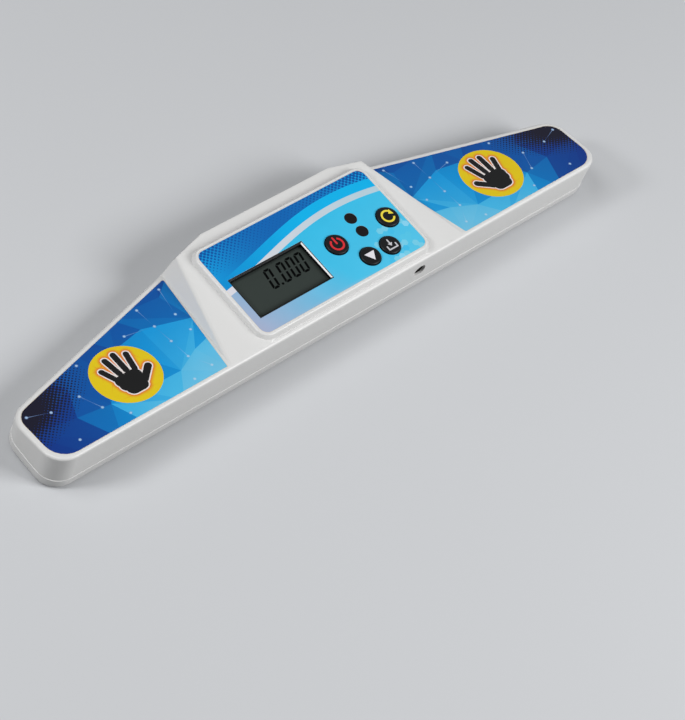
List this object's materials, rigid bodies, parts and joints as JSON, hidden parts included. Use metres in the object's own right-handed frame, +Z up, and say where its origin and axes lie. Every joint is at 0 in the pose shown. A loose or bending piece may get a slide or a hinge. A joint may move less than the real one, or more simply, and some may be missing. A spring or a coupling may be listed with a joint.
{
  "type": "hand-pad timer",
  "caption": "Low, long competition timer: two sloping wings with round hand pads and a level centre console with a display, rubber keys, lamps and a data jack.",
  "frame": {"origin": "centre of the case in plan, on the surface that the rubber feet stand on", "axes": "+X along the case towards the keys, +Y from the front wall to the back, +Z up"},
  "size_m": [0.279, 0.0556, 0.0225],
  "materials": {
    "case_plastic": "moulded white, satin",
    "pad_print": "printed film, blue",
    "panel_print": "printed film, sky blue",
    "black_plastic": "moulded black",
    "lcd_face": "polariser over grey liquid crystal",
    "dark_silicone": "moulded",
    "circuit_board": "green solder mask",
    "black_resin": "cast drop",
    "plated_metal": "nickel plated",
    "ceramic_chip": "fired ceramic",
    "led_body": "clear to milky",
    "smoked_lens": "dark red smoked",
    "key_rubber": "moulded silicone with a printed sign",
    "carbon_rubber": "carbon filled",
    "cell_wrap": "printed sleeve on a steel can",
    "red_wire": "extruded insulation",
    "grey_wire": "extruded insulation",
    "copper_plate": "rolled foil",
    "foot_rubber": "moulded"
  },
  "bodies": {
    "root": {"top_shell": "case_plastic", "bottom_shell": "case_plastic", "left_pad_film": "pad_print", "right_pad_film": "pad_print", "panel_film": "panel_print", "display_frame": "black_plastic", "lcd_glass": "lcd_face", "lcd_zebra_strips": "dark_silicone", "main_pcb": "circuit_board", "controller_blob": "black_resin", "crystal_can": "plated_metal", "capacitors": "ceramic_chip", "far_status_led": "led_body", "near_status_led": "led_body", "far_status_lens": "smoked_lens", "near_status_lens": "smoked_lens", "keypad_mat": "dark_silicone", "data_jack_body": "black_plastic", "data_jack_sleeve": "plated_metal", "data_jack_pins": "plated_metal", "battery_springs": "plated_metal", "battery_plates": "plated_metal", "battery_cells": "cell_wrap", "battery_leads": "red_wire", "left_touch_plate": "copper_plate", "right_touch_plate": "copper_plate", "left_pad_lead": "grey_wire", "right_pad_lead": "grey_wire", "case_screws": "plated_metal", "pcb_screws": "plated_metal", "rubber_feet": "foot_rubber", "power_key_dome": "dark_silicone", "mode_key_dome": "dark_silicone", "save_key_dome": "dark_silicone", "reset_key_dome": "dark_silicone"},
    "power_button": {"power_key": "key_rubber", "power_key_pill": "carbon_rubber"},
    "mode_button": {"mode_key": "key_rubber", "mode_key_pill": "carbon_rubber"},
    "save_button": {"save_key": "key_rubber", "save_key_pill": "carbon_rubber"},
    "reset_button": {"reset_key": "key_rubber", "reset_key_pill": "carbon_rubber"},
    "door": {"battery_door": "case_plastic"}
  },
  "joints": [
    {"name": "power_press", "type": "slide", "parent": "root", "child": "power_button", "axis": [0, 0, -1], "range_m": [0, 0.0008], "stiffness_N_per_m": 800, "deforming": ["power_key_dome"]},
    {"name": "mode_press", "type": "slide", "parent": "root", "child": "mode_button", "axis": [0, 0, -1], "range_m": [0, 0.0008], "stiffness_N_per_m": 800, "deforming": ["mode_key_dome"]},
    {"name": "save_press", "type": "slide", "parent": "root", "child": "save_button", "axis": [0, 0, -1], "range_m": [0, 0.0008], "stiffness_N_per_m": 800, "deforming": ["save_key_dome"]},
    {"name": "reset_press", "type": "slide", "parent": "root", "child": "reset_button", "axis": [0, 0, -1], "range_m": [0, 0.0008], "stiffness_N_per_m": 800, "deforming": ["reset_key_dome"]},
    {"name": "door_slide", "type": "slide", "parent": "root", "child": "door", "axis": [0, 1, 0], "range_m": [0, 0.03]}
  ]
}
